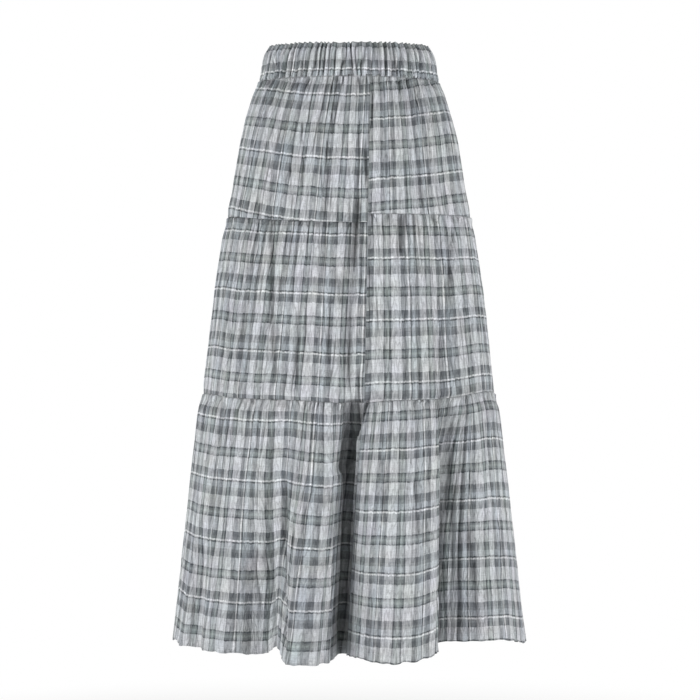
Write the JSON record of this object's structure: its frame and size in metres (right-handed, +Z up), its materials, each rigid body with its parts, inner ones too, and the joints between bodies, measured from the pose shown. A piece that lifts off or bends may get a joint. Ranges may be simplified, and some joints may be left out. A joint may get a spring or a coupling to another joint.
{
  "type": "a-line maxi skirt",
  "caption": "Tiered a-line maxi skirt in crinkled plaid cotton with a gathered elasticated waistband, filled out as worn.",
  "frame": {"origin": "centre of the waistband ring, halfway up the band, where the wearer's waist holds the skirt", "axes": "+Z up along the skirt from hem to waist, -Y towards the front that the picture shows, +X to the right of that view"},
  "size_m": [0.5125, 0.4784, 0.8656],
  "materials": {
    "crinkled_plaid": "matt crinkled woven cotton in a grey plaid on off-white"
  },
  "bodies": {
    "root": {"waistband": "crinkled_plaid", "tier_upper_left": "crinkled_plaid", "tier_upper_right": "crinkled_plaid", "tier_middle_left": "crinkled_plaid", "tier_middle_right": "crinkled_plaid", "tier_lower_left": "crinkled_plaid", "tier_lower_right": "crinkled_plaid"}
  },
  "joints": []
}
